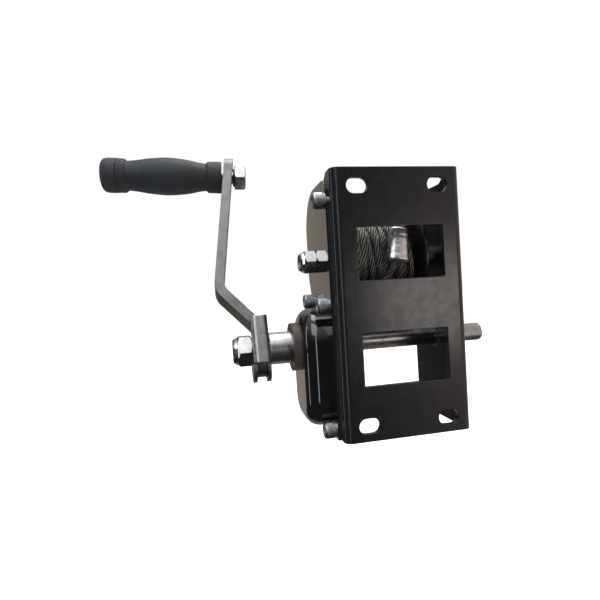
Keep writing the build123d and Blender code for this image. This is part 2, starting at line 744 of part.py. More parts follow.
def make_pawl_clip():
    """The retaining ring that keeps the pawl on its pin."""
    left = PAWL_GROOVE[0] + FIT
    width = PAWL_GROOVE[1] - PAWL_GROOVE[0] - 2 * FIT
    with BuildPart() as clip:
        extrude(disc(PAWL_PIN, left, 7.0, PAWL_PIN_RADIUS - PAWL_GROOVE_DEPTH), amount=width)
        with BuildSketch(side_plane(left)):
            with Locations((PAWL_PIN[0], PAWL_PIN[1] - 5)):
                Rectangle(5.0, 6.0)
        extrude(amount=width, mode=Mode.SUBTRACT)
    return clip


def make_pawl_spring():
    """The torsion spring behind the pawl, round the pin's shoulder."""
    wire = 0.6
    turns = 2.5
    pitch = 1.7
    radius = PAWL_SHOULDER_RADIUS + 1.0
    start = (PAWL_SHOULDER + 0.7, PAWL_PIN[0], PAWL_PIN[1])
    with BuildLine() as coil:
        Helix(pitch=pitch, height=pitch * turns, radius=radius, center=start, direction=(1, 0, 0))
    path = coil.wire()
    with BuildPart() as spring:
        with BuildSketch(Plane(origin=path @ 0, z_dir=path % 0)):
            Circle(wire)
        sweep(path=path, is_frenet=True)
    return spring


# ---- crank --------------------------------------------------------------------------
def make_crank_hub():
    """The crank hub: a pressure flange, a nose through the ratchet and an outer collar."""
    bore = SHAFT_THREAD_RADIUS + FIT
    profile = outline(
        SHAFT_PLANE,
        [
            (BRACKET_RIGHT, bore),
            (BRACKET_RIGHT, HUB_RADIUS - 0.6),
            (BRACKET_RIGHT + 0.6, HUB_RADIUS),
            (HUB_FLANGE[0], HUB_RADIUS),
            (HUB_FLANGE[0], PRESSURE_RADIUS),
            (HUB_FLANGE[1], PRESSURE_RADIUS),
            (HUB_FLANGE[1], HUB_NOSE_RADIUS),
            (HUB_NOSE_END, HUB_NOSE_RADIUS),
            (HUB_NOSE_END, bore),
        ],
    )
    with BuildPart() as hub:
        revolve(profile, axis=SHAFT_AXIS)
    return hub


def make_crank_bracket():
    """The bent channel that holds the arm on the hub, open at its back and its lower end."""
    top, web_bottom, leg_bottom = 25.6, -14.0, -27.0
    back, front = -13.0, 16.8
    width = BRACKET_RIGHT - BRACKET_LEFT
    across = Plane(origin=CRANK_PLANE.origin, x_dir=(1, 0, 0), z_dir=CRANK_OUT)
    leg_plane = Plane(origin=(BRACKET_LEFT, SHAFT_Y, SHAFT_Z), x_dir=CRANK_OUT, z_dir=(1, 0, 0))
    with BuildSketch(leg_plane) as leg:
        with BuildLine():
            FilletPolyline((web_bottom, front), (top, front), (top, back), (-9.0, back), radius=(1, 8))
            ThreePointArc((-9.0, back), (leg_bottom, 0), (web_bottom, front - 2 - BRACKET_SHEET))
            Line((web_bottom, front - 2 - BRACKET_SHEET), (web_bottom, front))
        make_face()
    with BuildPart() as bracket:
        with BuildSketch(across.offset(leg_bottom)):
            with Locations((ARM_CENTRE_X, -(back + front) / 2)):
                Rectangle(width, front - back)
                with Locations((0, BRACKET_SHEET)):
                    Rectangle(width - 2 * BRACKET_SHEET, front - back, mode=Mode.SUBTRACT)
        extrude(amount=top - leg_bottom)
        bends = bracket.edges().filter_by(lambda e: abs((e % 0).dot(CRANK_OUT)) > 0.999)
        from_axis = Axis(CRANK_PLANE.origin, CRANK_FRONT)
        fillet(bends.group_by(from_axis)[-1], radius=4.5)
        bends = bracket.edges().filter_by(lambda e: abs((e % 0).dot(CRANK_OUT)) > 0.999)
        web_inside = front - BRACKET_SHEET
        fillet(bends.filter_by_position(from_axis, web_inside - 0.01, web_inside + 0.01), radius=1.5)
        extrude(leg.sketch, amount=width, mode=Mode.INTERSECT)
        with BuildSketch(CRANK_PLANE.offset(back - 1)):
            with Locations(((BRACKET_LEFT + BRACKET_LEFT + BRACKET_SHEET) / 2, (8.0 + top + 1) / 2)):
                Rectangle(BRACKET_SHEET + 0.8, top + 1 - 8.0)
        extrude(amount=web_inside - back, mode=Mode.SUBTRACT)
        extrude(disc(SHAFT, BRACKET_LEFT, SHAFT_THREAD_RADIUS + FIT), amount=width, mode=Mode.SUBTRACT)
    return bracket


def make_crank_arm():
    """The flat bar of the crank, set outward by two bends, with rounded ends."""
    lean_out = 0.1215
    beyond = ARM_TOP + 4
    with BuildPart() as arm:
        with BuildSketch(CRANK_PLANE):
            with BuildLine():
                FilletPolyline(
                    (ARM_CENTRE_X, ARM_BOTTOM - 1),
                    (ARM_CENTRE_X, 18.4),
                    (-139.6, 52.5),
                    (GRIP_ARM_X + lean_out * (beyond - GRIP_ARM_RADIUS), beyond),
                    radius=14,
                )
            trace(line_width=ARM_THICKNESS)
        extrude(amount=ARM_WIDTH / 2, both=True)
        with BuildSketch(Plane(origin=(-150.0, SHAFT_Y, SHAFT_Z), x_dir=CRANK_OUT, z_dir=(1, 0, 0))):
            with Locations(((ARM_TOP + ARM_BOTTOM) / 2, 0)):
                SlotOverall(ARM_TOP - ARM_BOTTOM, ARM_WIDTH)
        extrude(amount=60, mode=Mode.INTERSECT)
        extrude(disc(SHAFT, -120.0, SHAFT_THREAD_RADIUS + FIT), amount=20, mode=Mode.SUBTRACT)
        with BuildSketch(grip_across(-8.0)):
            Circle(GRIP_BOLT_RADIUS + FIT)
        extrude(amount=16, mode=Mode.SUBTRACT)
    return arm


def make_crank_nut():
    """The M16 lock nut on the end of the drive shaft."""
    seat = Plane(origin=(BRACKET_LEFT, SHAFT_Y, SHAFT_Z), x_dir=(0, 1, 0), z_dir=(-1, 0, 0))
    return lock_nut(seat, CRANK_NUT_FLATS, *CRANK_NUT, SHAFT_THREAD_RADIUS)


def make_drum_nut():
    """The M12 lock nut of the drum axle, against the cover."""
    seat = Plane(origin=(COVER_FACE, DRUM_Y, DRUM_Z), x_dir=(0, 1, 0), z_dir=(-1, 0, 0))
    return lock_nut(seat, AXLE_FLATS, *AXLE_NUT, AXLE_RADIUS)


# ---- grip ---------------------------------------------------------------------------
GRIP_OUT = Vector(-cos(radians(GRIP_TILT)), 0, 0) + CRANK_OUT * sin(radians(GRIP_TILT))
GRIP_CENTRE = Vector(GRIP_ARM_X, SHAFT_Y, SHAFT_Z) + CRANK_OUT * GRIP_ARM_RADIUS
GRIP_PLANE = Plane(origin=GRIP_CENTRE, x_dir=GRIP_OUT, z_dir=CRANK_FRONT)
GRIP_AXIS = Axis(GRIP_CENTRE, GRIP_OUT)
GRIP_START = 5.8
GRIP_JOINT = 98.5
GRIP_END = 112.5
GRIP_POCKET = 88.0
NUT_POCKET_RADIUS = 12.0


def grip_across(distance):
    """A plane across the grip's axis, at a distance outboard of the arm's middle."""
    return Plane(origin=GRIP_CENTRE + GRIP_OUT * distance, x_dir=CRANK_FRONT, z_dir=GRIP_OUT)


def make_grip():
    """The moulded grip, waisted at both ends, bored for its bolt and pocketed for the nut."""
    with BuildSketch(GRIP_PLANE) as profile:
        with BuildLine():
            bore = GRIP_BOLT_RADIUS + FIT
            Polyline((GRIP_START, bore), (GRIP_START, 14.0), (6.8, 14.9), (18.6, 14.9), (20.6, 13.0))
            Spline((20.6, 13.0), (35.0, 15.6), (54.0, 17.4), (73.0, 15.9), (89.0, 13.5))
            Polyline(
                (89.0, 13.5),
                (93.5, 15.6),
                (GRIP_JOINT - 0.8, 15.8),
                (GRIP_JOINT - 0.1, 15.1),
                (GRIP_JOINT - 0.1, NUT_POCKET_RADIUS),
                (GRIP_POCKET, NUT_POCKET_RADIUS),
                (GRIP_POCKET, bore),
                (GRIP_START, bore),
            )
        make_face()
    with BuildPart() as grip:
        revolve(profile.sketch, axis=GRIP_AXIS)
    return grip


def make_grip_cap():
    """The rounded cap that closes the outboard end of the grip."""
    with BuildSketch(GRIP_PLANE) as profile:
        with BuildLine():
            Polyline(
                (GRIP_END, 0),
                (106.0, 0),
                (106.0, 10.5),
                (GRIP_JOINT - 4, 10.5),
                (GRIP_JOINT - 4, NUT_POCKET_RADIUS),
                (GRIP_JOINT, NUT_POCKET_RADIUS),
                (GRIP_JOINT, 15.1),
                (GRIP_JOINT + 0.7, 15.8),
                (107.0, 15.8),
            )
            Spline((107.0, 15.8), (110.6, 13.6), (GRIP_END, 8.0), tangents=((1, 0), (0.1, -1)))
            Line((GRIP_END, 8.0), (GRIP_END, 0))
        make_face()
    with BuildPart() as cap:
        revolve(profile.sketch, axis=GRIP_AXIS)
    return cap


def make_grip_bolt():
    """The M12 bolt that the grip turns on, with its hexagon head on the inboard side."""
    head_height = 10.0
    inner_face = -6.4
    corner = 21.0 / 2 / cos(radians(30))
    head_envelope = [
        (inner_face, 0),
        (inner_face, corner - 1.2),
        (inner_face - 1.2, corner + 0.2),
        (inner_face - head_height + 1.6, corner + 0.2),
        (inner_face - head_height, corner - 2.4),
        (inner_face - head_height, 0),
    ]
    with BuildPart() as bolt:
        extrude(hexagon(grip_across(inner_face), 21.0, 30), amount=-head_height)
        revolve(outline(GRIP_PLANE, head_envelope), axis=GRIP_AXIS, mode=Mode.INTERSECT)
        with BuildSketch(grip_across(inner_face)):
            Circle(GRIP_BOLT_RADIUS)
        extrude(amount=100.0 - inner_face)
    return bolt


def make_grip_nut():
    """The lock nut inside the grip's pocket, on the outboard end of the bolt."""
    return lock_nut(grip_across(89.5), 18.0, 8.0, 10.0, GRIP_BOLT_RADIUS)


def make_grip_washer():
    """The black nylon washer between the arm and the bolt head."""
    with BuildPart() as washer:
        with BuildSketch(grip_across(-4.85)):
            Circle(8.3)
            Circle(GRIP_BOLT_RADIUS, mode=Mode.SUBTRACT)
        extrude(amount=-1.55)
    return washer


# ---- build and write every piece ----------------------------------------------------
save(make_frame(), "frame")
save(make_gear_cover(), "gear_cover")
save(make_cover_screws(), "cover_screws")
save(make_screw_washers(), "cover_screw_washers")
save(make_drum_axle(), "drum_axle")
save(make_drum_nut(), "drum_axle_nut")
thrust_washer, spacer = make_spacers()
save(thrust_washer, "drum_thrust_washer")
save(spacer, "drum_spacer")
for bush, name in zip(make_shaft_bushes(), ("left_shaft_bush", "right_shaft_bush", "cover_bush")):
    save(bush, name)
save(make_pawl_pin(), "pawl_pin")
save(make_pawl_clip(), "pawl_clip")

save(make_drum_core(), "drum_core")
left_bush, right_bush = make_drum_bushes()
save(left_bush, "drum_bush_left")
save(right_bush, "drum_bush_right")
save(make_drum_flange(LEFT_FLANGE, True), "drum_flange_left")
save(make_drum_flange(RIGHT_FLANGE, False), "drum_flange_right")
gear, mesh_angle = make_drum_gear()
save(gear, "drum_gear")
save(make_gear_rivets(), "gear_rivets")
save(make_rope_set_screw(), "rope_set_screw")
save(make_cable_coil(), "cable_coil")
save(make_cable_tail(), "cable_tail")
save(make_cable_ferrule(), "cable_ferrule")

save(make_drive_shaft(), "drive_shaft")
save(make_pinion(mesh_angle), "pinion")
save(make_brake_disc(), "brake_disc")
save(make_shaft_clip(), "shaft_clip")
save(make_crank_nut(), "crank_nut")

save(make_ratchet(), "ratchet_wheel")
save(make_friction_disc(RATCHET[0] - LINING_THICKNESS), "friction_disc_outer")
save(make_friction_disc(RATCHET[1]), "friction_disc_inner")
save(make_pawl(), "pawl")
save(make_pawl_spring(), "pawl_spring")

save(make_crank_hub(), "crank_hub")
save(make_crank_bracket(), "crank_bracket")
save(make_crank_arm(), "crank_arm")
save(make_grip_bolt(), "grip_bolt")
save(make_grip_nut(), "grip_nut")
save(make_grip_washer(), "grip_washer")
save(make_grip(), "grip")
save(make_grip_cap(), "grip_cap")
print("grip centre", GRIP_CENTRE, "grip axis", GRIP_OUT, "shaft z", SHAFT_Z)
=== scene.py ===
import json
from math import cos, floor, pi, radians, sin, sqrt

import bmesh
import bpy
from mathutils import Matrix, Vector


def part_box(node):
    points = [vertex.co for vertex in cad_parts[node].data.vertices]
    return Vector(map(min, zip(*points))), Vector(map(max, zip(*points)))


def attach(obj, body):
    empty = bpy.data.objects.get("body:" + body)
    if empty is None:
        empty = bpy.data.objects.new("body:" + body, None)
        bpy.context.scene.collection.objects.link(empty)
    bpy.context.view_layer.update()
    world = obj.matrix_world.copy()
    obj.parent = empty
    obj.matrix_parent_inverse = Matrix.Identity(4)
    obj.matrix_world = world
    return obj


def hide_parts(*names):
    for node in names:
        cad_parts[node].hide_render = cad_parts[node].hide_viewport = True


# Looks of a boat trailer hand winch.  Everything is in metres, in the frame of the packed
# model: +X along the shafts from the crank to the stub, +Z up the base plate, and the
# mounting face in the plane Y = 0 with the winch behind it.

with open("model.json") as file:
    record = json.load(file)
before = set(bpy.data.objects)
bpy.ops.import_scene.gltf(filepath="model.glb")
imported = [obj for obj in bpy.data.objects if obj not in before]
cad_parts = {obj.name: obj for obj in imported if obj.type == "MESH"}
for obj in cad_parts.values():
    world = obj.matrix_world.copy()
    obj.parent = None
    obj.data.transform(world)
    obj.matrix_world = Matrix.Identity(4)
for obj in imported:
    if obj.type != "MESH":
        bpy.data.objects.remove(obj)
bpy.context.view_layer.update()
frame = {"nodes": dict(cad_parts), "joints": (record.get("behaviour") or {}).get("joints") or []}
nodes = frame["nodes"]

MM = 0.001


def joint_place(name):
    for joint in frame["joints"]:
        if joint["name"] == name:
            return Vector(joint["pos_m"]), Vector(joint["axis"]).normalized()
    raise ValueError(name)


DRUM_PLACE = joint_place("drum_spin")[0]
SHAFT_PLACE = joint_place("drive_spin")[0]
GRIP_PLACE, GRIP_DIRECTION = joint_place("grip_spin")
DRUM_Y, DRUM_Z = DRUM_PLACE.y, DRUM_PLACE.z


# ---- camera -------------------------------------------------------------------------
CAMERA_PLACE = Vector((-0.14277, -0.31135, 0.01568))
CAMERA_YAW = 0.1932
CAMERA_PITCH = 0.024
CAMERA_ROLL = -0.0593
CAMERA_LENS = 25.8
SENSOR = 36.0


def make_camera():
    forward = Vector(
        (
            sin(CAMERA_YAW) * cos(CAMERA_PITCH),
            cos(CAMERA_YAW) * cos(CAMERA_PITCH),
            -sin(CAMERA_PITCH),
        )
    )
    level = Vector((cos(CAMERA_YAW), -sin(CAMERA_YAW), 0))
    above = level.cross(forward)
    right = level * cos(CAMERA_ROLL) + above * sin(CAMERA_ROLL)
    up = above * cos(CAMERA_ROLL) - level * sin(CAMERA_ROLL)
    data = bpy.data.cameras.new("camera")
    data.lens = CAMERA_LENS
    data.sensor_width = SENSOR
    data.clip_start = 0.01
    camera = bpy.data.objects.new("camera", data)
    turn = Matrix((right, up, -forward)).transposed()
    camera.matrix_world = Matrix.Translation(CAMERA_PLACE) @ turn.to_4x4()
    bpy.context.scene.collection.objects.link(camera)
    bpy.context.scene.camera = camera


make_camera()


# ---- mesh helpers -------------------------------------------------------------------
def add_mesh(name, vertices, faces, smooth=True):
    mesh = bpy.data.meshes.new(name)
    mesh.from_pydata([tuple(v) for v in vertices], [], faces)
    shell = bmesh.new()
    shell.from_mesh(mesh)
    bmesh.ops.recalc_face_normals(shell, faces=shell.faces)
    shell.to_mesh(mesh)
    shell.free()
    mesh.polygons.foreach_set("use_smooth", [smooth] * len(mesh.polygons))
    piece = bpy.data.objects.new(name, mesh)
    bpy.context.scene.collection.objects.link(piece)
    return piece


def place_piece(piece, body, slot, *replaced):
    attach(piece, body)
    if replaced:
        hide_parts(*replaced)
    return piece


def crease(piece, degrees=32):
    """Mark the edges that are sharper than an angle, so that smooth shading stops there."""
    mesh = piece.data
    mesh.set_sharp_from_angle(angle=radians(degrees))
    return piece


def grid_faces(rings, count):
    """Quads between closed rings of vertices, with both ends closed by one face each."""
    faces = []
    for ring in range(rings - 1):
        low = ring * count
        high = low + count
        for index in range(count):
            after = (index + 1) % count
            faces.append((low + index, low + after, high + after, high + index))
    faces.append(tuple(reversed(range(count))))
    last = (rings - 1) * count
    faces.append(tuple(last + index for index in range(count)))
    return faces


def axes_across(direction):
    """Two directions square to one direction and to each other."""
    side = Vector((0, 0, 1)).cross(direction)
    if side.length < 0.1:
        side = Vector((1, 0, 0)).cross(direction)
    side.normalize()
    return side, direction.cross(side).normalized()


def lathe(name, origin, direction, profile, count=96):
    """A closed turned piece: profile is (distance along, radius) from end to end."""
    side, other = axes_across(direction)
    vertices = []
    for along, radius in profile:
        middle = origin + direction * along
        for index in range(count):
            turn = 2 * pi * index / count
            vertices.append(middle + (side * cos(turn) + other * sin(turn)) * radius)
    return add_mesh(name, vertices, grid_faces(len(profile), count))


def tube_ring(name, origin, direction, profile, count=96):
    """A closed turned ring: profile goes once round the ring's section."""
    side, other = axes_across(direction)
    vertices = []
    for along, radius in profile:
        middle = origin + direction * along
        for index in range(count):
            turn = 2 * pi * index / count
            vertices.append(middle + (side * cos(turn) + other * sin(turn)) * radius)
    faces = []
    rings = len(profile)
    for ring in range(rings):
        low = ring * count
        high = ((ring + 1) % rings) * count
        for index in range(count):
            after = (index + 1) % count
            faces.append((low + index, low + after, high + after, high + index))
    return add_mesh(name, vertices, faces)


# ---- rope ---------------------------------------------------------------------------
ROPE_DIAMETER = 5.0 * MM
ROPE_LAY = 34.0 * MM
STRANDS = 6
STRAND_STEPS = 6
RING_STEP = 2.4 * MM
POINTS_PER_TURN = 16

COIL_RADIUS = 37.5 * MM
TAIL_RADIUS = 40.5 * MM
FERRULE_ANGLE = radians(11.0)
FERRULE_LEAN = radians(9.0)
FERRULE_CENTRE_X = 4.8 * MM

# Free end of the rope, as in the CAD model: place along the drum, distance along the
# wound surface below the middle of the ferrule, and height over the wound surface.
TAIL_ROUTE = [
    (9.0, -62.0, -2.5),
    (8.6, -50.0, 0.6),
    (7.8, -38.0, 3.0),
    (8.6, -25.0, 4.5),
    (9.3, -13.0, 4.9),
    (7.2, 0.5, 4.9),
    (5.8, 15.0, 4.0),
    (7.7, 27.0, 3.2),
    (11.0, 40.0, 3.1),
    (12.0, 56.0, 3.0),
    (4.2, 63.9, 3.1),
    (-7.0, 64.0, 3.0),
    (-14.8, 55.9, 3.1),
    (-13.8, 43.5, 3.0),
    (-8.4, 33.5, 3.3),
    (-2.8, 24.0, 4.4),
    (1.0, 14.5, 5.2),
    (2.0, 4.0, 4.9),
]

# Turns of the top layer: place along the drum where each one crosses the front, in
# millimetres, and how strongly it slants there, in millimetres per radian.
TOP_TURNS = [
    (-27.6, 0.5),
    (-22.2, -1.5),
    (-16.6, 4.2),
    (-10.1, 2.8),
    (5.2, 2.0),
    (11.2, 3.0),
    (17.4, 6.0),
]


def round_drum(x, angle, radius):
    """A point at an angle above the front of the drum."""
    return Vector((x, DRUM_Y - radius * cos(angle), DRUM_Z + radius * sin(angle)))


def tail_point(place):
    along, below, height = (value * MM for value in place)
    angle = FERRULE_ANGLE - below / TAIL_RADIUS
    return round_drum(along, angle, COIL_RADIUS + height)


def rope_turns():
    """Where each turn crosses the front of the drum: (x, radius, slant), in millimetres."""
    turns = [(22.0 - 5.15 * index, 22.6, -0.6) for index in range(11)]
    turns += [(-29.2 + 5.15 * index, 26.9, 0.7) for index in range(10)]
    slack = [-0.8, -3.0, -6.0, -8.5, -8.5, -6.5, -4.5, -2.5, -0.8]
    turns += [(16.6 - 5.65 * index, 31.1, slant) for index, slant in enumerate(slack)]
    turns += [(x, 35.3, slant) for x, slant in TOP_TURNS]
    return turns


def ease(share):
    return share * share * (3 - 2 * share)


def coil_points():
    """Control points of the wound turns, from the clamped end on the core to the tail."""
    turns = rope_turns()
    smaller = (6 + 2 * cos(2 * pi / POINTS_PER_TURN)) / 8
    first = 0.75
    last = len(turns) - 1 + TAIL_START / (2 * pi)
    steps = round((last - first) * POINTS_PER_TURN)
    points = []
    for step in range(steps):
        place = first + (last - first) * step / steps
        turn = min(int(floor(place)), len(turns) - 1)
        share = place - turn
        x, radius, slant = turns[turn]
        after = turns[turn + 1] if turn + 1 < len(turns) else (5.6, 35.3, 0.0)
        mix = 0.5 * share + 0.5 * ease(share)
        middle = x + (after[0] - x) * mix
        swing_out = slant * sin(2 * pi * share) * cos(pi * share) ** 2 if share < 0.5 else 0
        swing_in = after[2] * sin(2 * pi * share) * cos(pi * share) ** 2 if share > 0.5 else 0
        wobble = 0.28 * sin(2.31 * place * 2 * pi) + 0.2 * sin(0.77 * place * 2 * pi + 1.0)
        climb = ease(min(1.0, max(0.0, (share - 0.35) / 0.3)))
        reach = radius + (after[1] - radius) * climb + 0.15 * sin(3.3 * place * 2 * pi)
        angle = -2 * pi * share
        x_place = (middle + swing_out + swing_in + wobble) * MM
        points.append(round_drum(x_place, angle, reach * MM / smaller))
    return points


TAIL_START = 2 * pi - (FERRULE_ANGLE + 62.0 * MM / TAIL_RADIUS)


def spline_points(points):
    """Points along one smooth NURBS spline with these control points."""
    data = bpy.data.curves.new("rope_line", "CURVE")
    data.dimensions = "3D"
    data.resolution_u = 8
    spline = data.splines.new("NURBS")
    spline.points.add(len(points) - 1)
    for target, point in zip(spline.points, points):
        target.co = (point.x, point.y, point.z, 1.0)
    spline.order_u = 3
    spline.use_endpoint_u = True
    line = bpy.data.objects.new("rope_line", data)
    bpy.context.scene.collection.objects.link(line)
    bpy.context.view_layer.update()
    mesh = bpy.data.meshes.new_from_object(line)
    found = [vertex.co.copy() for vertex in mesh.vertices]
    bpy.data.objects.remove(line)
    bpy.data.meshes.remove(mesh)
    return found


def even_points(points, step):
    """The same line, with points about one step apart."""
    places = [0.0]
    for before, after in zip(points, points[1:]):
        places.append(places[-1] + (after - before).length)
    count = int(round(places[-1] / step))
    result = []
    index = 0
    for number in range(count + 1):
        wanted = places[-1] * number / count
        while index < len(places) - 2 and places[index + 1] < wanted:
            index += 1
        span = places[index + 1] - places[index]
        share = (wanted - places[index]) / span if span > 0 else 0.0
        result.append(points[index].lerp(points[index + 1], share))
    return result, places[-1]


def strand_radius(turn):
    """Outline of six round strands laid round a core, at an angle round the rope."""
    strand = ROPE_DIAMETER / 6
    centre = 2 * strand
    off = (turn * STRANDS / (2 * pi) + 0.5) % 1.0 - 0.5
    angle = off * 2 * pi / STRANDS
    inside = max(0.0, strand**2 - (centre * sin(angle)) ** 2)
    return centre * cos(angle) + sqrt(inside)


def make_rope(line):
    """One closed mesh of the twisted rope along its line."""
    count = STRANDS * STRAND_STEPS
    radii = [strand_radius(2 * pi * index / count) for index in range(count)]
    vertices = []
    normal = None
    for index, point in enumerate(line):
        before = line[max(0, index - 1)]
        after = line[min(len(line) - 1, index + 1)]
        tangent = (after - before).normalized()
        if normal is None:
            normal = axes_across(tangent)[0]
        normal = (normal - tangent * normal.dot(tangent)).normalized()
        other = tangent.cross(normal)
        twist = 2 * pi * index * RING_STEP / ROPE_LAY
        for place in range(count):
            turn = 2 * pi * place / count + twist
            offset = normal * cos(turn) + other * sin(turn)
            vertices.append(point + offset * radii[place])
    rope = add_mesh("wire_rope", vertices, grid_faces(len(line), count))
    layer = rope.data.uv_layers.new(name="lay")
    values = []
    for polygon in rope.data.polygons:
        start = polygon.vertices[0] % count
        for vertex in polygon.vertices:
            ring, place = divmod(vertex, count)
            if start == count - 1 and place == 0:
                place = count
            values += [place / STRAND_STEPS, ring * RING_STEP / ROPE_LAY]
    layer.data.foreach_set("uv", values)
    return rope


route = coil_points() + [tail_point(place) for place in TAIL_ROUTE]
rope_line, rope_length = even_points(spline_points(route), RING_STEP)
rope = make_rope(rope_line)
place_piece(rope, "drum", "wire_rope", "cable_coil", "cable_tail")


# ---- ferrule ------------------------------------------------------------------------
FERRULE_LENGTH = 28.0 * MM
FERRULE_WIDTH = 16.5 * MM
FERRULE_THICKNESS = 10.0 * MM


def make_ferrule():
    """The pressed ferrule: an oval sleeve with rounded ends and shallow press marks."""
    middle = round_drum(FERRULE_CENTRE_X, FERRULE_ANGLE, COIL_RADIUS + 0.4 * MM + FERRULE_THICKNESS / 2)
    up = Vector((0, sin(FERRULE_ANGLE), cos(FERRULE_ANGLE)))
    along = up * cos(FERRULE_LEAN) + Vector((1, 0, 0)) * sin(FERRULE_LEAN)
    across = Vector((1, 0, 0)) * cos(FERRULE_LEAN) - up * sin(FERRULE_LEAN)
    out = Vector((0, -cos(FERRULE_ANGLE), sin(FERRULE_ANGLE)))
    rings, count = 57, 64
    vertices = []
    half = FERRULE_LENGTH / 2
    for ring in range(rings):
        share = ring / (rings - 1)
        place = -half + FERRULE_LENGTH * (0.5 - 0.5 * cos(pi * share))
        from_end = half - abs(place)
        edge = 1.9 * MM
        inset = edge - sqrt(max(0.0, edge**2 - (edge - min(edge, from_end)) ** 2))
        press = sum(
            0.28 * MM * 2.718 ** (-(((place - mark) / (1.0 * MM)) ** 2))
            for mark in (-8.2 * MM, -1.0 * MM, 6.6 * MM)
        )
        taper = (0.75 * (place / half) - 0.1) * MM
        wide = FERRULE_WIDTH / 2 - inset - press * 0.5 - taper
        thick = FERRULE_THICKNESS / 2 - inset - press - 0.1 * MM * (place / half)
        for index in range(count):
            turn = 2 * pi * index / count
            x = abs(cos(turn)) ** 0.82 * (1 if cos(turn) >= 0 else -1) * wide
            y = abs(sin(turn)) ** 0.82 * (1 if sin(turn) >= 0 else -1) * thick
            vertices.append(middle + along * place + across * x + out * y)
    ferrule = add_mesh("pressed_ferrule", vertices, grid_faces(rings, count))
    return crease(ferrule, 50)


ferrule = make_ferrule()
place_piece(ferrule, "drum", "aluminium", "cable_ferrule")


# ---- drive shaft --------------------------------------------------------------------
THREAD_PITCH = 2.0 * MM
THREAD_DEPTH = 1.2 * MM
STUB_RADIUS = 8.0 * MM
STUB_FLAT = 5.5 * MM
STUB_START = 58.5 * MM
FLAT_START = 70.0 * MM
STUB_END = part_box("drive_shaft")[1].x
FLAT_TURN = radians(160.0)


def shaft_radius(x, turn):
    """Distance of the shaft's surface from its axis."""
    if x < -60.0 * MM:
        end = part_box("drive_shaft")[0].x
        return min(8.0 * MM, 7.0 * MM + (x - end))
    if x < -34.5 * MM:
        return 9.0 * MM
    if 55.8 * MM < x < 57.0 * MM:
        return STUB_RADIUS - 0.6 * MM
    radius = STUB_RADIUS
    if x > STUB_START:
        phase = ((x / THREAD_PITCH) - turn / (2 * pi)) % 1.0
        flank = max(0.0, 1 - abs(phase - 0.5) / 0.40)
        radius -= THREAD_DEPTH * flank * min(1.0, (x - STUB_START) / THREAD_PITCH)
        radius = min(radius, STUB_RADIUS - 1.6 * MM + (STUB_END - x))
    if x > FLAT_START:
        facing = abs(cos(turn - FLAT_TURN))
        if facing > 0.01:
            radius = min(radius, STUB_FLAT / facing)
    return radius


def make_shaft():
    """The drive shaft, with a rolled thread and two flats on its stub."""
    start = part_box("drive_shaft")[0].x
    step = 0.02 * MM
    breaks = [start, start + 1.0 * MM, -60.0 * MM - step, -60.0 * MM + step]
    breaks += [-34.5 * MM - step, -34.5 * MM + step, 10.0 * MM]
    breaks += [55.8 * MM, 55.8 * MM + step, 57.0 * MM - step, 57.0 * MM, STUB_START]
    thread_steps = int((STUB_END - STUB_START) / (THREAD_PITCH / 12))
    for index in range(1, thread_steps + 1):
        breaks.append(STUB_START + (STUB_END - STUB_START) * index / thread_steps)
    breaks += [FLAT_START - step, FLAT_START + step]
    places = sorted(set(breaks))
    count = 96
    vertices = []
    for x in places:
        for index in range(count):
            turn = 2 * pi * index / count
            radius = shaft_radius(x, turn)
            vertices.append(
                Vector((x, SHAFT_PLACE.y + radius * cos(turn), SHAFT_PLACE.z + radius * sin(turn)))
            )
    return crease(add_mesh("shaft_threaded", vertices, grid_faces(len(places), count)), 35)


shaft = make_shaft()
place_piece(shaft, "drive", "zinc", "drive_shaft")


# ---- grip ---------------------------------------------------------------------------
def smooth_profile(points, steps=6):
    """A smooth line through (along, radius) points, with straight continuation at its ends."""
    result = []
    padded = [points[0]] + points + [points[-1]]
    for a, b, c, d in zip(padded, padded[1:], padded[2:], padded[3:]):
        for step in range(steps):
            t = step / steps
            result.append(
                tuple(
                    0.5
                    * (
                        2 * b[i]
                        + (c[i] - a[i]) * t
                        + (2 * a[i] - 5 * b[i] + 4 * c[i] - d[i]) * t * t
                        + (3 * b[i] - a[i] - 3 * c[i] + d[i]) * t**3
                    )
                    for i in range(2)
                )
            )
    result.append(points[-1])
    return result


def in_metres(profile):
    return [(along * MM, radius * MM) for along, radius in profile]


BOLT_HOLE = 6.05


def make_grip():
    """The moulded grip: a collar by the arm, a swollen middle and a bead at the cap."""
    body = smooth_profile(
        [
            (20.8, 12.5), (27.0, 13.4), (38.0, 15.6), (54.0, 17.0), (70.0, 15.9), (81.0, 14.2),
            (89.0, 13.2),
        ],
        8,
    )
    collar = smooth_profile(
        [
            (5.8, 13.6), (6.1, 14.2), (6.9, 14.5), (11.0, 14.5), (17.2, 14.35), (18.6, 14.1),
            (19.4, 13.4), (20.0, 12.75),
        ],
        4,
    )
    bead = smooth_profile([(90.4, 13.5), (91.4, 14.6), (92.4, 15.1), (93.6, 15.25)], 4)
    joint = [
        (95.2, 15.3), (95.5, 15.05), (96.0, 15.05), (96.3, 15.3), (97.8, 15.3), (98.3, 15.0),
        (98.4, 12.0),
    ]
    outside = collar + body + bead + joint
    inside = [(88.0, 12.0), (88.0, BOLT_HOLE), (5.8, BOLT_HOLE)]
    grip = tube_ring("grip_moulded", GRIP_PLACE, GRIP_DIRECTION, in_metres(outside + inside), 128)
    return crease(grip, 30)


